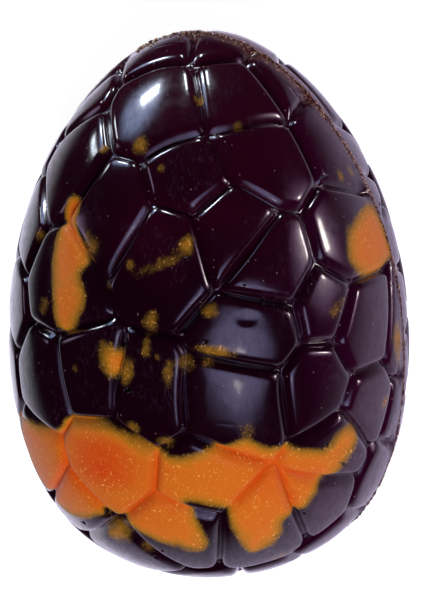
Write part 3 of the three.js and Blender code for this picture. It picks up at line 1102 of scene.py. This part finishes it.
def make_crumbs(middle):
    """Crumbs of chocolate left along the seam where the halves were joined."""
    mesh = bmesh.new()
    luck = []
    for _ in range(CRUMB_COUNT):
        paleness, size = add_crumb(mesh)
        luck.extend([paleness] * size)
    points = places_of(mesh.verts) @ LEAN.T + middle
    add_chocolate("seam_crumbs", mesh, points, {"luck": luck}, crumb_material())


def make_floor():
    mesh = bpy.data.meshes.new("floor")
    half = FLOOR_HALF_WIDTH
    corners = [(-half, -half, 0), (half, -half, 0), (half, half, 0), (-half, half, 0)]
    mesh.from_pydata(corners, [], [(0, 1, 2, 3)])
    floor = new_object("floor", mesh, floor_material())
    floor.visible_glossy = False


# ---- Camera and light ----

def make_camera(middle):
    right, up, back = (Vector(axis) for axis in camera_axes())
    camera = bpy.data.objects.new("camera", bpy.data.cameras.new("camera"))
    turn = Matrix((right, up, back)).transposed().to_4x4()
    camera.matrix_world = Matrix.Translation(Vector(middle) * MM + back * CAMERA_DISTANCE) @ turn
    camera.data.lens = CAMERA_LENS
    camera.data.shift_x, camera.data.shift_y = CAMERA_SHIFT
    bpy.context.scene.collection.objects.link(camera)
    bpy.context.scene.camera = camera


def panel(name, place, target, size, radiance, colour, in_gloss=True):
    """A soft light in a flat panel that faces the target, as bright as told all over."""
    light = bpy.data.lights.new(name, "AREA")
    light.shape = "RECTANGLE"
    light.size, light.size_y = size
    light.energy = radiance * math.pi * size[0] * size[1]
    light.color = colour
    lamp = bpy.data.objects.new(name, light)
    lamp.location = place
    lamp.rotation_euler = (Vector(place) - Vector(target)).to_track_quat("Z", "Y").to_euler()
    lamp.visible_camera = False
    lamp.visible_glossy = in_gloss
    bpy.context.scene.collection.objects.link(lamp)


COOL = (0.80, 0.88, 1.0)
WARM = (1.0, 0.93, 0.86)
NARROW_END = (-0.014, 0.066, 0.067)

# The lamps: name, place, what it faces, width and height, how bright it is, and colour.
LAMPS = [
    ("key", (-0.122, 0.228, 0.021), NARROW_END, (0.040, 0.024), 50, COOL),
    ("second_key", (-0.015, 0.270, 0.034), NARROW_END, (0.022, 0.050), 30, COOL),
    ("side", (0.44, 0.144, 0.19), (0.025, 0.033, 0.088), (0.080, 0.050), 18, WARM),
    ("strip", (-0.40, 0.25, -0.08), NARROW_END, (0.030, 0.11), 13, COOL),
    ("top", (0.22, -0.10, 0.86), (0.007, 0.0, 0.105), (0.09, 0.07), 3.5, WARM),
]
FILL = ("fill", (0.0, -0.2, 0.9), (0, 0, 0.05), (0.5, 0.5), 8.5, WHITE)

# Soft glows in the studio: direction, how its edge and its middle lie (as cosines), and colour.
FROM_RIGHT = (0.93, 0.24, 0.27)
GLOWS = [
    ((0.35, -0.62, -0.70), 0.15, 0.75, (0.46, 0.39, 0.56)),
    ((-0.633, 0.754, -0.174), 0.955, 0.998, (1.7, 2.2, 3.6)),
    ((-0.985, 0.10, -0.10), 0.983, 0.999, (1.2, 0.9, 1.4)),
    ((-0.35, -0.35, -0.87), 0.75, 0.95, (0.40, 0.42, 0.46)),
    (FROM_RIGHT, 0.94, 0.995, (0.8, 0.45, 0.9)),
    (FROM_RIGHT, 0.975, 1.0, (1.2, 1.0, 1.0)),
    ((0.28, -0.04, 0.96), 0.93, 0.99, (1.0, 0.92, 1.7)),
]
PALE_BACKGROUND = (0.93, 0.93, 0.94)


def make_lights():
    for lamp in LAMPS:
        panel(*lamp)
    panel(*FILL, in_gloss=False)


def studio_glow(tree, direction, edge, middle, colour):
    link = tree.links.new
    toward = tree.nodes.new("ShaderNodeVectorMath")
    toward.operation = "DOT_PRODUCT"
    toward.inputs[1].default_value = Vector(direction).normalized()
    link(tree.nodes.new("ShaderNodeTexCoord").outputs["Generated"], toward.inputs[0])
    fade = tree.nodes.new("ShaderNodeMapRange")
    fade.interpolation_type = "SMOOTHSTEP"
    fade.inputs["From Min"].default_value = edge
    fade.inputs["From Max"].default_value = middle
    link(toward.outputs["Value"], fade.inputs["Value"])
    light = tree.nodes.new("ShaderNodeBackground")
    light.inputs["Color"].default_value = (*colour, 1)
    link(fade.outputs["Result"], light.inputs["Strength"])
    return light.outputs[0]


def make_world():
    """Pale where the camera sees it. In reflections it is as dark as a studio, with soft glows."""
    world = bpy.data.worlds.new("studio")
    bpy.context.scene.world = world
    world.use_nodes = True
    tree = world.node_tree
    link = tree.links.new
    tree.nodes["Background"].inputs["Strength"].default_value = 0
    studio = tree.nodes["Background"].outputs[0]
    for glow in GLOWS:
        total = tree.nodes.new("ShaderNodeAddShader")
        link(studio, total.inputs[0])
        link(studio_glow(tree, *glow), total.inputs[1])
        studio = total.outputs[0]
    pale = tree.nodes.new("ShaderNodeBackground")
    pale.inputs["Color"].default_value = (*PALE_BACKGROUND, 1)
    both = tree.nodes.new("ShaderNodeMixShader")
    link(tree.nodes.new("ShaderNodeLightPath").outputs["Is Camera Ray"], both.inputs["Fac"])
    link(studio, both.inputs[1])
    link(pale.outputs[0], both.inputs[2])
    link(both.outputs[0], tree.nodes["World Output"].inputs["Surface"])
    bpy.context.scene.view_settings.view_transform = "Standard"


random.seed(RANDOM_SEED)
egg_middle = make_egg()
make_crumbs(egg_middle)
make_floor()
make_camera(egg_middle)
make_lights()
make_world()
